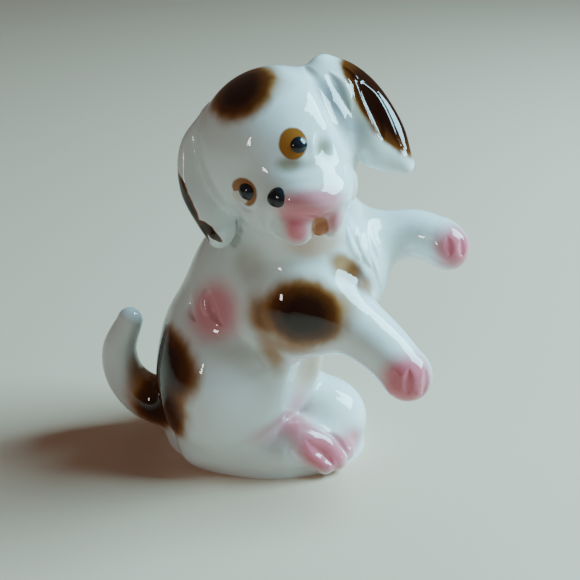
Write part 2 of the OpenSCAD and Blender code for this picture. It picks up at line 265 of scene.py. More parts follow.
LEFT_FORELEG = [
    roll([(14, 4, 48), (22, 2.5, 50.2), (29.5, 1.5, 51.8), (35, -1.2, 51.4)], [6.5, 5.6, 5.4, 5.1], 4),
    lump((37, -3, 50.2), (4.6, 4.6, 4.8), 2),
]
TAIL = [
    roll([(-18, 3, 9.5), (-29, 5, 8.5), (-35.3, 6, 13.5), (-36.8, 6, 21), (-33.9, 6, 28.9)],
         [6.5, 5.6, 4.7, 4.0, 2.9], 4),
]

MARKS = [
    # right and left eye: ball, lids and hollows
    dent((-5.6, -22.6, 69.6), (2.8, 3, 2.8), -0.4),
    stroke([(-8, -19.5, 67.5), (-6, -21.5, 66.3), (-3.5, -23.5, 66.2)], 0.8, 0.3),
    dent((3.9, -22.8, 79.1), (3.2, 3, 3.4), -0.45),
    dent((7.4, -21.9, 78.8), (1, 2, 2), -0.35),
    dent((9.4, -20.7, 77.4), (1.6, 2, 2.4), 0.6),
    dent((3.4, -24.2, 75.2), (3, 2, 1.3), 0.35),
    # crease between cheek and muzzle
    stroke([(-3.5, -24, 68), (-3.1, -23.7, 65.3), (-2, -23.5, 62.6)], 1, 0.3),
    # left ear: hollow between it and the skull, folds of its front, and its channels
    stroke([(6, -6.5, 90), (8.8, -11, 87.5), (10.8, -14, 84.6), (12.8, -15.3, 81), (14.8, -14.6, 77),
            (16.2, -12.5, 73), (17, -9, 69)],
           2.5, 2.7),
    stroke([(10.9, -6.6, 89.2), (13.4, -8.2, 87.6), (14.6, -9.6, 84.8), (15, -10.4, 82.4)], 1.2, -0.6),
    stroke([(13.7, -4.6, 89.8), (15.9, -6.2, 88.6), (17, -8.3, 85.3), (18.8, -9.8, 80.5),
            (19.9, -10.5, 77.4)], 0.8, -0.7),
    stroke([(16, -6.9, 88), (18.1, -7.8, 84.2), (20, -8.8, 80.3), (21.4, -10, 76.6)], 1.4, 1.2),
    stroke([(17.5, -5.9, 86.7), (20.1, -6, 84.4), (22.1, -7.2, 81.3),
            (23.9, -8.6, 77.5), (25.7, -9.2, 73.9)],
           0.7, -0.6),
    stroke([(20.6, -5, 84.6), (22.8, -6, 81.2), (24.9, -7.6, 77), (26.2, -8.4, 74)], 0.8, 0.35),
    # right ear: edge of its outer side
    stroke([(-18.4, -9.3, 72), (-18, -11.6, 67.5), (-16.3, -13.6, 63.6), (-14.6, -14, 60)], 1, -0.4),
    # curls of fur on the chest, and the crease below them
    stroke([(14.6, -10.6, 58.1), (15.7, -11.2, 55), (16.6, -10.7, 52.5), (17.7, -10.6, 50.6)], 1, -0.4),
    stroke([(16.2, -9.3, 57.2), (16.8, -10.2, 54.2), (17.6, -10.3, 51.8)], 0.8, 0.25),
    stroke([(17.3, -7.1, 56.8), (17.7, -9.6, 53.8), (19, -10, 51), (20.2, -9.5, 48.5)], 1, -0.5),
    stroke([(19.1, -5.5, 55.5), (18.9, -7.6, 53.9), (19.6, -8.8, 51.9), (20.9, -8.8, 48.9),
            (22.5, -7.7, 42.9)], 0.9, -0.45),
    stroke([(20.4, -3.4, 55.4), (20.4, -5.4, 53.7), (21.6, -6.9, 51.3), (22.3, -7.1, 49.1)], 0.8, -0.35),
    stroke([(10.1, -14.8, 53.2), (13.7, -13.2, 51.6), (15.9, -12.4, 49.4), (17.8, -11.9, 46.9)], 2.2, 0.15),
    # curls of fur on the flank
    stroke([(-14.2, -9.2, 43), (-13.8, -10.2, 40.3), (-12.9, -11.2, 38.2), (-11.4, -12.9, 36.6)], 0.9, 0.6),
    stroke([(-15.2, -8.4, 43), (-15.2, -9.6, 40), (-14.2, -11, 37.4)], 0.9, -0.35),
    stroke([(-18.4, -6, 40.3), (-18.2, -7.5, 37.6), (-16.9, -10.3, 36)], 0.9, 0.5),
    # between the toes of the right hind paw
    stroke([(6.5, -15.2, 9.7), (8.1, -15.4, 8), (9.6, -15, 6.2), (11.2, -15.2, 4.7), (12.6, -15.4, 3.3)],
           1, 0.45),
    stroke([(11, -11.8, 9.4), (12.7, -10.6, 7.6), (14, -11.1, 6.3), (15.1, -11.6, 4.8), (15.8, -13, 3.3)],
           0.85, 0.6),
    stroke([(3.4, -16.4, 8.1), (5.6, -16.8, 6.3), (8.3, -16.3, 3.7)], 1, 0.35),
    # between the toes of the right forepaw, and a raised toe
    stroke([(24.2, -25, 32), (24.5, -25.6, 30), (25.2, -25.8, 28)], 1, 0.35),
    stroke([(27.1, -25.2, 32.6), (26.9, -26, 29.7), (27.3, -25.6, 27)], 0.9, 0.6),
    stroke([(30.6, -24, 32.2), (30.9, -24.6, 29.3), (30.2, -24.7, 26.4)], 0.8, 0.7),
    stroke([(28.8, -25.2, 29), (29, -25.4, 27.5), (28.9, -25, 26)], 0.7, -0.3),
    # between the toes of the left forepaw
    stroke([(36.3, -6.2, 54.2), (36.5, -7.4, 52), (36.8, -7.6, 50.2)], 0.8, 0.5),
    stroke([(39.2, -5.7, 53.5), (39.4, -6.6, 51.6), (39.3, -6.4, 49.6)], 0.8, 0.6),
]

# ---------------------------------------------------------------- seams

# Clay is left this far past a seam, to be cut flush there
SLACK = 1.0


def seam(at, way, reach):
    return np.asarray(at, float), unit(way), reach


def facing_back(s):
    return s[0], -s[1], s[2]


def beyond(p, s):
    """How far p lies past a seam, within its reach."""
    d = p - s[0]
    ahead = d @ s[1]
    return np.minimum(ahead, s[2] - np.linalg.norm(d - ahead[..., None] * s[1], axis=-1))


NECK = seam((4.5, -4, 56.5), (-0.05, -0.2, 1), 30)
MOUND_TOP = seam((0, 0, 2.6), (0, 0, -1), 60)
UNDERSIDE = seam((0, 0, 0), (0, 0, -1), 60)
PAWS = seam((7, 0, 14), (0.8, 0, -0.6), 40)
BETWEEN_PAWS = seam((8, -5.5, 6), (0, 1, 0), 40)
RIGHT_SHOULDER = seam((13.5, -13.5, 38.6), (0.85, -0.37, -0.37), 10.5)
LEFT_SHOULDER = seam((18, 3.3, 49.1), (0.95, -0.15, 0.25), 10.5)
TAIL_ROOT = seam((-25, 4, 8.7), (-0.97, 0.05, -0.2), 30)
RIGHT_EAR_ROOT = seam((-12.25, -8, 68), (-0.964, 0, -0.265), 22)
LEFT_EAR_ROOT = seam((14.2, -5, 78.5), (0.935, 0, 0.355), 22)

# ---------------------------------------------------------------- from clay to mesh

# Lattice points along a block, of which only those near the surface are worked out in full
BLOCK = 5
# A length well past the end of any piece
FAR = 80.0
OFF_LATTICE = 0.02
CORNERS = np.array([(i, j, k) for i in (0, 1) for j in (0, 1) for k in (0, 1)])
EDGES = [(a, b) for a in range(8) for b in range(a + 1, 8) if np.abs(CORNERS[a] - CORNERS[b]).sum() == 1]


def sample(field, low, high, step):
    """Values of the field on a lattice, exact near its surface and only signed elsewhere."""
    shape = np.ceil((high - low) / step / BLOCK).astype(int) + 1
    blocks = np.stack(np.meshgrid(*[np.arange(n) for n in shape], indexing="ij"), -1)
    centres = low + (blocks + 0.5) * BLOCK * step - step / 2
    rough = field(centres)
    reach_of_block = BLOCK * step * 1.1 + 1.0
    near = np.abs(rough) < reach_of_block
    values = np.repeat(np.repeat(np.repeat(np.sign(rough) * FAR, BLOCK, 0), BLOCK, 1), BLOCK, 2)
    inner = np.stack(np.meshgrid(*[np.arange(BLOCK)] * 3, indexing="ij"), -1).reshape(-1, 3)
    index = (blocks[near][:, None, :] * BLOCK + inner).reshape(-1, 3)
    values[tuple(index.T)] = field(low + index * step)
    return values


def fill_pinches(inside):
    """Fills lattice points whose cells would pinch the surface to a point or an edge."""
    for _ in range(4):
        pinched = np.zeros_like(inside)
        for i, j in ((0, 1), (0, 2), (1, 2)):
            a = inside
            b = np.roll(inside, -1, i)
            c = np.roll(inside, -1, j)
            d = np.roll(np.roll(inside, -1, i), -1, j)
            bad = (a == d) & (b == c) & (a != b)
            pinched |= bad | np.roll(bad, 1, i) | np.roll(bad, 1, j) | np.roll(np.roll(bad, 1, i), 1, j)
        if not (pinched & ~inside).any():
            return inside
        inside = inside | pinched
    return inside


def net(values, low, step):
    """Surface net through the zero of lattice values: points and four-sided faces.

    Values are kept OFF_LATTICE from zero, so that no face shrinks onto a lattice point.
    """
    inside = fill_pinches(values < 0)
    values = np.where(inside, np.minimum(values, -OFF_LATTICE), np.maximum(values, OFF_LATTICE))
    n = np.array(values.shape) - 1
    corner = [inside[c[0]:c[0] + n[0], c[1]:c[1] + n[1], c[2]:c[2] + n[2]] for c in CORNERS]
    total = sum(c.astype(np.int8) for c in corner)
    cells = np.argwhere((total > 0) & (total < 8))
    at = [values[tuple((cells + c).T)] for c in CORNERS]
    place = np.zeros((len(cells), 3))
    count = np.zeros(len(cells))
    for a, b in EDGES:
        crossed = (at[a] < 0) != (at[b] < 0)
        t = np.where(crossed, at[a] / np.where(crossed, at[a] - at[b], 1), 0)
        where = CORNERS[a] + t[:, None] * (CORNERS[b] - CORNERS[a])
        place += where * crossed[:, None]
        count += crossed
    points = low + (cells + place / count[:, None]) * step
    number = np.full(n, -1)
    number[tuple(cells.T)] = np.arange(len(cells))
    faces = []
    for axis in range(3):
        u, v = [(1, 2), (2, 0), (0, 1)][axis]
        e = np.eye(3, dtype=int)
        here = inside[:-1, :-1, :-1]
        there = np.roll(inside, -1, axis)[:-1, :-1, :-1]
        edge = np.argwhere(here != there)
        edge = edge[(edge[:, u] > 0) & (edge[:, v] > 0)]
        ring = [number[tuple((edge - e[u] * i - e[v] * j).T)] for i, j in ((1, 1), (0, 1), (0, 0), (1, 0))]
        quad = np.stack(ring, -1)
        flip = ~here[tuple(edge.T)]
        quad[flip] = quad[flip][:, ::-1]
        faces.append(quad)
    return points, np.concatenate(faces)


def slope(field, p, h=0.05):
    """Gradient of the field at points p."""
    tips = np.array([(1, -1, -1), (-1, -1, 1), (-1, 1, -1), (1, 1, 1)], float)
    return sum(t * field(p + h * t)[..., None] for t in tips) / (4 * h)


def settle(field, points, step):
    """Moves the points of a net onto the field's surface, a short way at a time."""
    least_slope = 0.05
    longest_move = 0.6 * step
    for _ in range(3):
        g = slope(field, points)
        move = (field(points) / np.maximum((g * g).sum(-1), least_slope))[:, None] * g
        length = np.linalg.norm(move, axis=-1, keepdims=True)
        points = points - move * np.minimum(1, longest_move / np.maximum(length, 1e-9))
    return points


def mesh_object(name, points, faces):
    """Object in metres from points in millimetres."""
    mesh = bpy.data.meshes.new(name)
    mesh.from_pydata((np.asarray(points) * MM).tolist(), [], [list(map(int, f)) for f in faces])
    mesh.validate()
    obj = bpy.data.objects.new(name, mesh)
    bpy.context.scene.collection.objects.link(obj)
    return obj


def sculpted(name, field, low, high, step):
    low, high = np.asarray(low, float), np.asarray(high, float)
    points, faces = net(sample(field, low, high, step), low, step)
    return mesh_object(name, settle(field, points, step), faces)


# Depth of the rod that is cut away past a seam, and the sides of round cutters
CUT_DEPTH = 14.0
CUT_SIDES = 48


def turned(name, at, way, rings):
    """A closed turned solid, in millimetres: its rings are (distance from at along way, radius)."""
    way = unit(way)
    side = unit(np.cross(way, (0, 1, 0) if abs(way[1]) < 0.9 else (1, 0, 0)))
    other = np.cross(way, side)
    angles = 2 * np.pi * np.arange(CUT_SIDES) / CUT_SIDES
    rim = np.cos(angles)[:, None] * side + np.sin(angles)[:, None] * other
    points = np.concatenate([np.asarray(at) + far * way + radius * rim for far, radius in rings])
    n = CUT_SIDES
    last = (len(rings) - 1) * n
    faces = [tuple(range(n))[::-1], tuple(range(last, last + n))]
    for start in range(0, last, n):
        for i in range(n):
            j = (i + 1) % n
            faces.append((start + i, start + j, start + n + j, start + n + i))
    return mesh_object(name, points, faces)


def rod(s):
    """What a seam takes off the piece in which another one roots."""
    at, way, reach = s
    return turned("cutter", at, way, [(0, reach), (CUT_DEPTH, reach)])


def root_and_beyond(s):
    """What may belong to the piece that roots at a seam: a rod in its reach, and all beyond it."""
    at, way, reach = s
    return turned("root", at, way, [(0, reach), (CUT_DEPTH, reach), (CUT_DEPTH, FAR), (2 * FAR, FAR)])


def cut(piece, cutters, operation="DIFFERENCE"):
    """Takes closed cutters away from a closed piece, or keeps what lies within them."""
    for cutter in cutters:
        modifier = piece.modifiers.new("cut", "BOOLEAN")
        modifier.solver = "MANIFOLD"
        modifier.operation = operation
        modifier.object = cutter
    depsgraph = bpy.context.evaluated_depsgraph_get()
    result = bpy.data.meshes.new_from_object(piece.evaluated_get(depsgraph))
    piece.modifiers.clear()
    rough, piece.data = piece.data, result
    bpy.data.meshes.remove(rough)
    for cutter in cutters:
        bpy.data.meshes.remove(cutter.data)


# A point nearer than this is on the skin, or on a seam
SKIN_DEPTH = 0.05
SEAM_DEPTH = 0.002


def shade_like_clay(piece, field, seams):
    """Smooth normals from the field on the skin, flat ones on seams and inside the vent hole."""
    mesh = piece.data
    n = len(mesh.vertices)
    points = np.empty(n * 3)
    mesh.vertices.foreach_get("co", points)
    points = points.reshape(n, 3) / MM
    corners = np.empty(len(mesh.loops), int)
    mesh.loops.foreach_get("vertex_index", corners)
    starts = np.empty(len(mesh.polygons), int)
    sizes = np.empty(len(mesh.polygons), int)
    mesh.polygons.foreach_get("loop_start", starts)
    mesh.polygons.foreach_get("loop_total", sizes)
    flat = np.empty(len(mesh.polygons) * 3)
    mesh.polygons.foreach_get("normal", flat)
    flat = flat.reshape(-1, 3)
    gap = field(points)
    smooth = slope(field, points)
    smooth /= np.maximum(np.linalg.norm(smooth, axis=-1, keepdims=True), 1e-9)
    owner = np.repeat(np.arange(len(sizes)), sizes)
    order = np.argsort(starts)
    owner = order[owner] if not np.array_equal(order, np.arange(len(order))) else owner
    deep = np.abs(gap) > SKIN_DEPTH
    off_skin = np.zeros(len(sizes), bool)
    np.logical_or.at(off_skin, owner, deep[corners])
    for s in seams:
        on = np.abs((points - s[0]) @ s[1]) < SEAM_DEPTH
        all_on = np.ones(len(sizes), bool)
        np.logical_and.at(all_on, owner, on[corners])
        off_skin |= all_on
    normals = np.where(off_skin[owner][:, None], flat[owner], smooth[corners])
    mesh.polygons.foreach_set("use_smooth", np.ones(len(sizes), bool))
    mesh.normals_split_custom_set(normals.tolist())


# ---------------------------------------------------------------- pieces

# Lattice step of the clay, room around a node's box, and the longest edge that is merged
CLAY_STEP = 0.4
MARGIN = 3.0
SPLINTER = 0.01
VENT_RADIUS = 1.75


def within(p, low, high):
    """How far p lies outside the box from low to high, negative inside."""
    return np.maximum(low - p, p - high).max(-1)


def tidied(piece):
    """Keeps the largest connected part of the piece, and removes splinters left by cutting.

    A merged splinter can leave two faces back to back on the same points, which are both removed.
    """
    mesh = piece.data
    ends = np.empty(len(mesh.edges) * 2, int)
    mesh.edges.foreach_get("vertices", ends)
    a, b = ends.reshape(-1, 2).T
    island = np.arange(len(mesh.vertices))
    while True:
        lower = island.copy()
        np.minimum.at(lower, a, island[b])
        np.minimum.at(lower, b, island[a])
        lower = lower[lower]
        if np.array_equal(lower, island):
            break
        island = lower
    names, counts = np.unique(island, return_counts=True)
    spare = np.flatnonzero(island != names[counts.argmax()])
    work = bmesh.new()
    work.from_mesh(mesh)
    work.verts.ensure_lookup_table()
    bmesh.ops.delete(work, geom=[work.verts[i] for i in spare], context="VERTS")
    bmesh.ops.remove_doubles(work, verts=work.verts, dist=SPLINTER * MM)
    bmesh.ops.dissolve_degenerate(work, edges=work.edges, dist=SPLINTER * MM)
    bmesh.ops.triangulate(work, faces=work.faces)
    on_same_points = {}
    for face in work.faces:
        on_same_points.setdefault(frozenset(face.verts), []).append(face)
    twins = [face for faces in on_same_points.values() if len(faces) > 1 for face in faces]
    bmesh.ops.delete(work, geom=twins, context="FACES")
    work.to_mesh(mesh)
    work.free()


def piece_of_clay(node, things, own=None, others=(), cutters=()):
    """The part of the clay on a node's side of its seams: its own one is its root.

    Clay on the far side of the root seam, or beside its reach, stays with the piece that it roots in.
    """
    clay = heap(things, MARKS)
    box_low, box_high = (np.array(c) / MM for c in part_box(node))
    low, high = box_low - MARGIN, box_high + MARGIN

    def trimmed(p):
        out = np.maximum(clay(p), within(p, low + CLAY_STEP, high - 2 * CLAY_STEP))
        if own:
            out = np.maximum(out, -np.maximum(beyond(p, own), (p - own[0]) @ own[1] - CUT_DEPTH) - SLACK)
        for s in others:
            out = np.maximum(out, beyond(p, s) - SLACK)
        return out
    piece = sculpted("clay_" + node, trimmed, low, high, CLAY_STEP)
    if own:
        cut(piece, [root_and_beyond(own)], "INTERSECT")
    cut(piece, [rod(s) for s in others] + list(cutters))
    tidied(piece)
    shade_like_clay(piece, clay, ([own] if own else []) + list(others))
    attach(piece, "root")
    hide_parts(node)
    return piece


def vent():
    """Cutter of the vent hole in the base."""
    return turned("cutter", (-6, 0, -1), (0, 0, 1), [(0, VENT_RADIUS), (5, VENT_RADIUS)])


def puppy():
    feet = MOUND + RIGHT_PAW + LEFT_PAW
    limbs = TAIL + RIGHT_FORELEG + LEFT_FORELEG
    return [
        piece_of_clay("body", TORSO + feet + limbs + [SKULL],
                      others=[NECK, MOUND_TOP, PAWS, RIGHT_SHOULDER, LEFT_SHOULDER, TAIL_ROOT]),
        piece_of_clay("base", TORSO + feet + TAIL, own=MOUND_TOP, others=[UNDERSIDE], cutters=[vent()]),
        piece_of_clay("head", TORSO + FACE + RIGHT_EAR + LEFT_EAR, own=NECK,
                      others=[RIGHT_EAR_ROOT, LEFT_EAR_ROOT]),
        piece_of_clay("right_ear", FACE + RIGHT_EAR, own=RIGHT_EAR_ROOT),
        piece_of_clay("left_ear", FACE + LEFT_EAR, own=LEFT_EAR_ROOT),
        piece_of_clay("right_foreleg", TORSO + RIGHT_FORELEG, own=RIGHT_SHOULDER),
        piece_of_clay("left_foreleg", TORSO + LEFT_FORELEG, own=LEFT_SHOULDER, others=[NECK]),
        piece_of_clay("right_hind_paw", TORSO + feet, own=PAWS, others=[BETWEEN_PAWS, MOUND_TOP]),
        piece_of_clay("left_hind_paw", TORSO + feet, own=PAWS,
                      others=[facing_back(BETWEEN_PAWS), MOUND_TOP]),
        piece_of_clay("tail", TORSO + feet + TAIL, own=TAIL_ROOT, others=[MOUND_TOP]),
    ]


# An enamel drop: room around it, lattice step, blend of its balls, softness of its rim, and how
# deep it goes into the face
DROP_REACH = 2.8
DROP_STEP = 0.1
DROP_BLEND = 0.8
DROP_EDGE = 0.2
DROP_SINK = 0.15


def drop(node, towards, balls):
    """A raised drop of enamel on the face where a ray from the skull's middle leaves it.

    Its balls are given to the right, up and out from there, with their radii. It sinks slightly
    into the face, so that no gap shows.
    """
    face = heap(FACE, MARKS)
    way = unit(towards)
    well_inside = 12
    at = SKULL_AT + well_inside * way
    for _ in range(60):
        at = at - 0.7 * face(at[None])[0] * way
    out = unit(slope(face, at[None])[0])
    up = unit(np.array((0, 0, 1)) - out[2] * out)
    axes = np.array([np.cross(up, out), up, out])
    enamel_clay = heap([lump(at + np.array(c) @ axes, (r, r, r), DROP_BLEND) for c, r in balls])

    def lens(p):
        return soft_max(enamel_clay(p), -(face(p) + DROP_SINK), DROP_EDGE)
    piece = sculpted("enamel_" + node, lens, at - DROP_REACH, at + DROP_REACH, DROP_STEP)
    shade_like_clay(piece, lens, [])
    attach(piece, "root")
    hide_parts(node)
    return piece


clay_pieces = puppy()
drops = [
    drop("right_pupil", (-5.9, -14.6, -4.4), [((-0.35, 0, -1.0), 1.75), ((0.35, 0, -1.0), 1.75)]),
    drop("left_pupil", (4.1, -14.6, 4.7), [((0, 0, -1.6), 2.2)]),
    drop("nose", (-0.3, -18.9, -4.2),
         [((-0.6, -0.3, -1.1), 1.7), ((0.65, -0.25, -1.1), 1.7), ((0.1, 0.6, -1.1), 1.6)]),
]


# ---------------------------------------------------------------- glaze


class Glaze:
    """Builds one glaze: colours are laid over each other through masks shaped in 3-D."""

    def __init__(self, name):
        self.material = bpy.data.materials.new(name)
        self.material.use_nodes = True
        self.tree = self.material.node_tree
        self.shader = self.tree.nodes["Principled BSDF"]
        self.place = self.node("ShaderNodeTexCoord").outputs["Object"]

    def node(self, kind, **inputs):
        """A node whose settings and sockets are set by name, or sockets by number as i0, i1."""
        n = self.tree.nodes.new(kind)
        for key, value in inputs.items():
            self.set(n, key, value)
        return n

    def set(self, n, key, value):
        if hasattr(n, key) and not isinstance(value, bpy.types.NodeSocket):
            setattr(n, key, value)
            return
        is_number = key[0] == "i" and key[1:].isdigit()
        socket = n.inputs[int(key[1:]) if is_number else key.replace("_", " ")]
        if isinstance(value, bpy.types.NodeSocket):
            self.tree.links.new(value, socket)
        else:
            socket.default_value = value

    def math(self, operation, a, b=0.0):
        return self.node("ShaderNodeMath", operation=operation, i0=a, i1=b).outputs[0]

    def vector_math(self, operation, a, b):
        return self.node("ShaderNodeVectorMath", operation=operation, i0=a, i1=b).outputs[0]

    def texture(self, place, size_mm, detail):
        return self.node("ShaderNodeTexNoise", Vector=place, Scale=1 / (size_mm * MM), Detail=detail)

    def noise(self, size_mm, detail=2.0, stretch=None):
        """3-D noise from 0 to 1 whose blobs are about size_mm across."""
        place = self.place
        if stretch is not None:
            place = self.vector_math("MULTIPLY", place, stretch)
        return self.texture(place, size_mm, detail).outputs["Fac"]

    def shifted(self, size_mm, by_mm):
        """Place, pushed about by noise, so that airbrushed edges waver."""
        colour = self.texture(self.place, size_mm, 2.0).outputs["Color"]
        push = self.vector_math("SUBTRACT", colour, (0.5, 0.5, 0.5))
        push = self.vector_math("MULTIPLY", push, (2 * by_mm * MM,) * 3)
        return self.vector_math("ADD", self.place, push)

    def egg(self, place, at, size, lean=(0, 0, 0)):
        """Distance from the middle of an egg-shaped cloud: 1 on its edge."""
        mapping = self.node("ShaderNodeMapping", vector_type="TEXTURE", Vector=place)
        mapping.inputs["Location"].default_value = [c * MM for c in at]
        mapping.inputs["Rotation"].default_value = [np.radians(c) for c in lean]
        mapping.inputs["Scale"].default_value = [c * MM for c in size]
        return self.node("ShaderNodeVectorMath", operation="LENGTH", i0=mapping.outputs[0]).outputs["Value"]

    def fade(self, value, start, end):
        """1 up to start, then smoothly down to 0 at end."""
        ranged = self.node("ShaderNodeMapRange", interpolation_type="SMOOTHSTEP", i0=value)
        ranged.inputs["From Min"].default_value = start
        ranged.inputs["From Max"].default_value = end
        ranged.inputs["To Min"].default_value = 1
        ranged.inputs["To Max"].default_value = 0
        return ranged.outputs[0]

    def spread(self, value, low, high):
        """A value from 0 to 1, spread from low to high."""
        ranged = self.node("ShaderNodeMapRange", i0=value)
        ranged.inputs["To Min"].default_value = low
        ranged.inputs["To Max"].default_value = high
        return ranged.outputs[0]

    def feed(self, socket, value):
        self.tree.links.new(value, self.shader.inputs[socket])

    def bump(self, waves, height_mm):
        return self.node("ShaderNodeBump", Height=waves, Strength=1.0, Distance=height_mm * MM).outputs[0]

    def over(self, base, colour, mask):
        mix = self.node("ShaderNodeMix", data_type="RGBA")
        sockets = [s for s in mix.inputs if s.enabled]
        for socket, value in zip(sockets, (mask, base, colour)):
            if isinstance(value, bpy.types.NodeSocket):
                self.tree.links.new(value, socket)
            else:
                socket.default_value = value
        return [s for s in mix.outputs if s.enabled][0]


def rgb(r, g, b):
    return r, g, b, 1.0


WHITE = rgb(0.76, 0.82, 0.83)
CREAM = rgb(0.66, 0.62, 0.55)
GREY = rgb(0.50, 0.53, 0.50)
SLATE_SHADE = rgb(0.17, 0.16, 0.17)
BEIGE = rgb(0.70, 0.51, 0.40)
OLIVE = rgb(0.28, 0.21, 0.12)
PINK = rgb(0.68, 0.17, 0.22)
AMBER = rgb(0.34, 0.13, 0.022)
BROWN = rgb(0.11, 0.028, 0.005)
DARK = rgb(0.020, 0.004, 0.002)
IRIS = rgb(0.31, 0.105, 0.018)
MOUTH = rgb(0.42, 0.12, 0.03)
BLACK = rgb(0.004, 0.004, 0.006)
BLUE_BLACK = rgb(0.016, 0.020, 0.028)

# Airbrushed clouds, some of them painted shade: colour, where, half-widths, lean, where they start and end
# to fade, strength
MIST = (0.2, 1.15)
CLOUD = (0.45, 1.15)
BLUSHES = [
    # pink: upper lip, fold under it, right and left jowl, and with beige under the chin
    (PINK, (7.8, -28.5, 69.5), (9, 5.5, 3.3), (0, -3, 0), CLOUD, 0.85),
    (PINK, (5.8, -27, 66.8), (6.5, 5, 2.5), (0, 0, 0), CLOUD, 0.9),
    (PINK, (4.4, -28, 63.8), (3.8, 4, 4.9), (0, -25, 0), (0.3, 1.15), 1.0),
    (PINK, (11.8, -26, 65), (2.8, 5, 4.4), (0, 10, 0), MIST, 0.8),
    (PINK, (9, -15.5, 56.3), (8, 5, 3.6), (0, 0, 0), MIST, 0.4),
    (BEIGE, (9, -15.5, 56.5), (9, 5, 4), (0, 0, 0), CLOUD, 0.8),
    # pink: flank, forepaws, hind paws, inner thigh
    (PINK, (-13, -11, 38.9), (8.8, 7, 8.6), (0, -10, 0), (0.3, 1.15), 0.85),
    (PINK, (27.3, -24.6, 29.2), (7, 7, 7.6), (0, 0, 0), CLOUD, 1.0),
    (PINK, (38, -5.5, 51.4), (5.6, 5.5, 6), (0, 0, 0), CLOUD, 1.0),
    (PINK, (10, -14.5, 6.2), (9, 7, 5), (0, 32, 0), CLOUD, 1.0),
    (PINK, (4.5, -12, 11.5), (6, 6.5, 3.8), (0, 30, 0), MIST, 0.85),
    (PINK, (-1, -15, 12), (7.5, 6, 4), (0, -14, 0), MIST, 0.5),
    (PINK, (15.5, -10, 5.5), (4.5, 6, 4), (0, 40, 0), MIST, 0.8),
    (PINK, (18, -8, 4.5), (4, 6, 5), (0, 0, 0), MIST, 0.7),
    (PINK, (5.4, -9.5, 16), (4.5, 6, 5), (0, 20, 0), MIST, 0.65),
    # amber and brown: beside and under the shoulder's spot, with beige on the belly, along the
    # crease of the chest, around the rump's spots and the tail, behind the spot on the skull
    (AMBER, (-2.8, -17, 40.5), (5.4, 6, 7), (0, -18, 0), MIST, 1.0),
    (BROWN, (-2.2, -18, 41), (3, 6, 4.4), (0, -18, 0), MIST, 0.7),
    (AMBER, (3, -18, 34.4), (8, 6, 3), (0, 8, 0), MIST, 0.75),
    (AMBER, (-0.6, -16, 31), (3.4, 6, 6.5), (0, -20, 0), MIST, 0.85),
    (BEIGE, (7.5, -8, 24.5), (6.5, 9, 9), (0, 0, 0), CLOUD, 0.9),
    (AMBER, (14.6, -18, 43), (4, 6, 6), (0, 0, 0), MIST, 0.7),
    (AMBER, (14.4, -13, 49.9), (5.6, 5, 2.7), (0, 36, 0), CLOUD, 0.9),
    (BROWN, (17.1, -12.2, 47.3), (4.6, 5, 2.4), (0, 48, 0), CLOUD, 0.8),
    (AMBER, (19.2, -11.5, 44.8), (3, 5, 2.2), (0, 50, 0), MIST, 0.6),
    (AMBER, (9, -15, 55), (7, 6, 4), (0, 0, 0), MIST, 0.3),
    (AMBER, (-22.5, -14, 20.5), (5, 7, 10), (0, 0, 0), CLOUD, 0.9),
    (AMBER, (-31.8, 2, 17), (4.4, 7, 9.5), (0, 12, 0), MIST, 0.9),
    (AMBER, (-0.5, -15, 89), (5, 6, 3.5), (0, 0, 0), MIST, 0.45),
    # painted shade in olive, grey and slate: by the left eye, on the neck and flank, in the hollow between
    # the skull and the left ear, and on the ears, with cream on the left ear
    (OLIVE, (9.3, -20.8, 77.6), (2.4, 3, 2.6), (0, 0, 0), MIST, 0.85),
    (OLIVE, (3, -24.2, 75.5), (3.4, 3, 2.1), (0, 0, 0), MIST, 0.85),
    (OLIVE, (7.4, -23, 75.6), (3.4, 3, 1.4), (0, -15, 0), MIST, 0.4),
    (OLIVE, (-5, -12, 50), (6, 6, 6), (0, 0, 0), MIST, 0.45),
    (OLIVE, (21, -1, 57), (7, 5, 2.4), (0, 0, 0), MIST, 0.35),
    (OLIVE, (-7, -15.5, 31.5), (9, 4, 2.4), (0, 0, 0), MIST, 0.2),
    # slate: painted shadow in the hollow between the skull and the left ear
    (SLATE_SHADE, (12.2, -11, 84), (3.4, 7, 9), (0, -33, 0), MIST, 0.95),
    (SLATE_SHADE, (16.8, -10.5, 78), (4.2, 7, 5), (0, -30, 0), MIST, 0.6),
    (OLIVE, (16.4, -9, 82.8), (2.8, 5, 7.4), (0, -22, 0), MIST, 0.6),
    (CREAM, (19, -10, 75), (5, 5, 4), (0, 0, 0), MIST, 0.5),
    (OLIVE, (7.5, -6, 90), (4, 4, 2.5), (0, 0, 0), MIST, 0.4),
    (GREY, (-12.5, -14, 68), (2.4, 6, 9), (0, -15, 0), MIST, 0.35),
]
# Dark spots with amber edges: where, half-widths, lean, softness of the edge
SPOTS = [
    ((-6.3, -13, 87.3), (6.8, 9, 5.5), (0, -38, 0), 0.9),
    ((5.9, -20, 42.6), (7.8, 6, 7.1), (0, 12, 0), 1.0),
    ((-24.5, -9, 25.7), (9.2, 13.5, 7.2), (0, 0, 0), 0.8),
    ((-25.5, -9, 16.5), (7.4, 14, 8), (0, 0, 0), 0.8),
    ((-27.5, 2, 9.5), (6.2, 8, 5.6), (0, 0, 0), 1.0),
    ((21.5, -5, 82.4), (4.8, 9, 13.3), (0, -35, 0), 0.3),
    ((-18.3, -11, 63.6), (1.9, 7, 7.8), (0, -24, 0), 0.3),
    ((-13.2, -13, 58.2), (0.8, 5, 3.4), (0, -42, 0), 0.2),
    ((-14.6, -13, 57), (1.0, 5, 3.4), (0, -14, 0), 0.2),
]
# Irises and the white beside one: colour, where, half-widths, strength
EYES = [
    (IRIS, (-5.8, -22.5, 69.5), (3.3, 3, 2.9), 1.0),
    (CREAM, (-7, -22, 68.0), (1.9, 3, 1.4), 0.9),
    (IRIS, (3.6, -23, 79.3), (2.8, 3, 3.15), 1.0),
]
TONGUE = (8.7, -25, 63.5), (1.9, 5, 2.8)


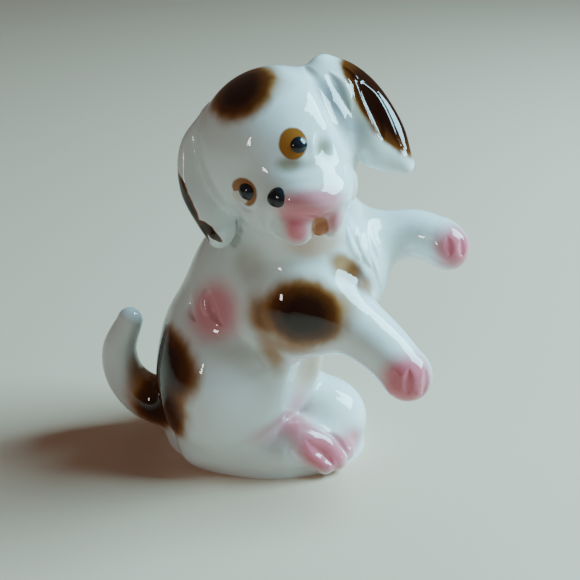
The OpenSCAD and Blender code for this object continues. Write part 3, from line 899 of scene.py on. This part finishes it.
def porcelain():
    """White porcelain, painted with clouds (some of them painted shade), spots and eyes, under a clear
    glossy coat.
    """
    g = Glaze("painted_glaze")
    soft = g.shifted(5, 0.9)
    crisp = g.shifted(1.2, 0.12)
    colour = g.over(WHITE, GREY, g.math("MULTIPLY", g.noise(14, 3), 0.22))

    def lay(base, tint, distance, start, end, strength):
        return g.over(base, tint, g.math("MULTIPLY", g.fade(distance, start, end), strength))
    # lays the clouds, painted shade in hollows among them
    for tint, at, size, lean, (start, end), strength in BLUSHES:
        colour = lay(colour, tint, g.egg(soft, at, size, lean), start, end, strength)
    streaks = g.math("MULTIPLY", g.math("SUBTRACT", g.noise(2.4, 2, (1, 1, 0.3)), 0.5), 0.14)
    spots = []
    for at, size, lean, softness in SPOTS:
        spots.append((g.math("ADD", g.egg(soft, at, size, lean), streaks), softness))
    for d, softness in spots:
        colour = lay(colour, AMBER, d, 0.9, 1.02 + 0.38 * softness, 0.95)
    for d, softness in spots:
        colour = lay(colour, BROWN, d, 0.95 - 0.2 * softness, 1.0 + 0.15 * softness, 1.0)
    for d, softness in spots:
        colour = lay(colour, DARK, d, 0.6 - 0.2 * softness, 0.95, 1.0)
    for tint, at, size, strength in EYES:
        colour = lay(colour, tint, g.egg(crisp, at, size), 0.9, 1.06, strength)
    colour = lay(colour, MOUTH, g.egg(soft, *TONGUE), 0.75, 1.1, 1.0)
    g.feed("Base Color", colour)
    g.feed("Roughness", g.spread(g.noise(0.8, 3), 0.12, 0.24))
    waves = g.math("ADD", g.noise(5, 2), g.math("MULTIPLY", g.noise(0.9, 2), 0.12))
    normal = g.bump(waves, 0.10)
    g.feed("Normal", normal)
    g.feed("Coat Normal", normal)
    g.shader.inputs["IOR"].default_value = 1.5
    g.shader.inputs["Specular IOR Level"].default_value = 0.0
    g.shader.inputs["Coat Weight"].default_value = 1.0
    g.shader.inputs["Coat Roughness"].default_value = 0.02
    g.shader.inputs["Coat IOR"].default_value = 1.55
    return g.material


def enamel():
    """Black enamel that is nearly a mirror."""
    g = Glaze("black_enamel")
    g.feed("Base Color", g.over(BLACK, BLUE_BLACK, g.noise(0.7, 3)))
    g.feed("Roughness", g.spread(g.noise(0.4, 3), 0.06, 0.2))
    g.feed("Normal", g.bump(g.noise(0.6, 2), 0.03))
    g.shader.inputs["IOR"].default_value = 1.5
    return g.material


glaze, black = porcelain(), enamel()
for piece in clay_pieces:
    piece.data.materials.clear()
    piece.data.materials.append(glaze)
for piece in drops:
    piece.data.materials.clear()
    piece.data.materials.append(black)

# ---------------------------------------------------------------- stage


def pale_floor():
    size = 3.0
    mesh = bpy.data.meshes.new("floor")
    corners = [(-size, -size, 0), (size, -size, 0), (size, size, 0), (-size, size, 0)]
    mesh.from_pydata(corners, [], [(0, 1, 2, 3)])
    floor = bpy.data.objects.new("floor", mesh)
    bpy.context.scene.collection.objects.link(floor)
    material = bpy.data.materials.new("pale_floor")
    material.use_nodes = True
    shader = material.node_tree.nodes["Principled BSDF"]
    shader.inputs["Base Color"].default_value = rgb(0.70, 0.49, 0.37)
    shader.inputs["Roughness"].default_value = 0.6
    mesh.materials.append(material)


def softbox(name, at, size, power, colour, aim=(0, 0, 0.045)):
    light = bpy.data.lights.new(name, "AREA")
    light.shape = "RECTANGLE"
    light.size, light.size_y = size
    light.energy = power
    light.color = colour
    obj = bpy.data.objects.new(name, light)
    obj.location = at
    obj.rotation_euler = (Vector(aim) - Vector(at)).to_track_quat("-Z", "Y").to_euler()
    bpy.context.scene.collection.objects.link(obj)


def sky(colour, strength):
    world = bpy.data.worlds.new("studio")
    world.use_nodes = True
    background = world.node_tree.nodes["Background"]
    background.inputs["Color"].default_value = colour
    background.inputs["Strength"].default_value = strength
    bpy.context.scene.world = world


VIEW_UP = np.radians(24)
VIEW_AIM = Vector((3, 0, 39)) * MM
VIEW_DISTANCE = 240 * MM
VIEW_ANGLE = np.radians(30)


def camera():
    data = bpy.data.cameras.new("camera")
    data.angle = VIEW_ANGLE
    data.clip_start = 0.01
    obj = bpy.data.objects.new("camera", data)
    back = Vector((0, -np.cos(VIEW_UP), np.sin(VIEW_UP)))
    obj.location = VIEW_AIM + VIEW_DISTANCE * back
    obj.rotation_euler = (-back).to_track_quat("-Z", "Y").to_euler()
    bpy.context.scene.collection.objects.link(obj)
    bpy.context.scene.camera = obj


pale_floor()
softbox("window", (0.50, 0.05, 0.45), (0.40, 0.45), 16, (0.41, 0.84, 1.0))
softbox("front", (-0.60, -0.72, 0.36), (0.07, 0.16), 1.0, (1.0, 0.97, 0.93))
sky(rgb(1.0, 0.70, 0.55), 0.11)
camera()
